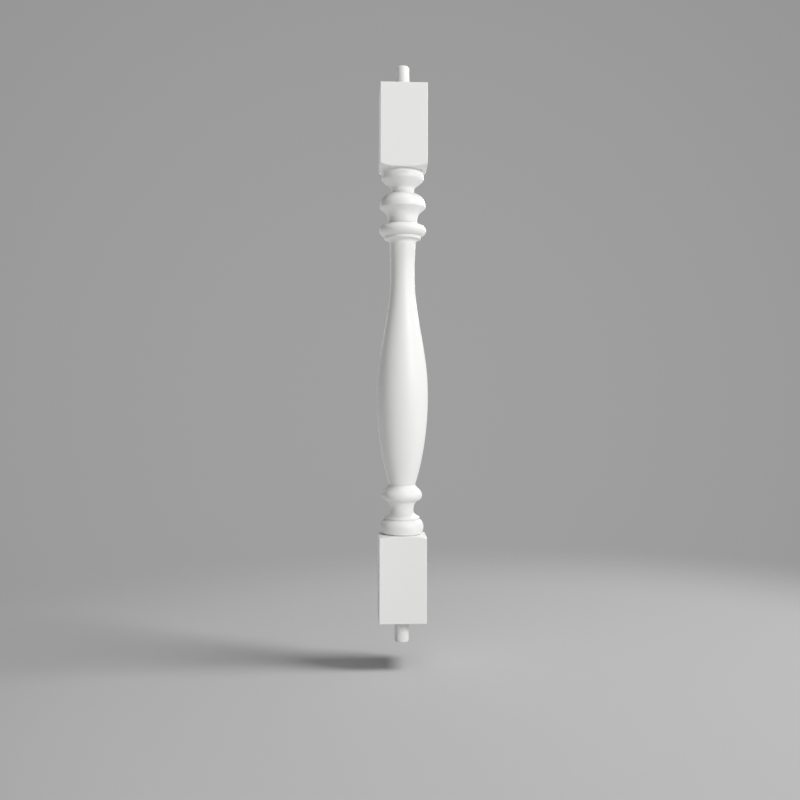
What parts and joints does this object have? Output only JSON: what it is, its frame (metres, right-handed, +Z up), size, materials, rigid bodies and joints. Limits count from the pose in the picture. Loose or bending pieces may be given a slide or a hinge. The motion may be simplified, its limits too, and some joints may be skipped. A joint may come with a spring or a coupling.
{
  "type": "baluster",
  "caption": "Turned white lacquered stair baluster: square blocks at both ends, rings and a vase-shaped shaft between them, and a round fixing pin on each end.",
  "frame": {"origin": "centre of the lower block's underside, the face that sits on the bottom rail; the lower pin hangs below it", "axes": "+Z up along the turning axis towards the handrail; +X and +Y square to the blocks' flat sides"},
  "size_m": [0.0688, 0.0688, 0.77],
  "materials": {
    "white_lacquer": "smooth white satin lacquer, no grain showing"
  },
  "bodies": {
    "root": {"baluster": "white_lacquer"}
  },
  "joints": []
}
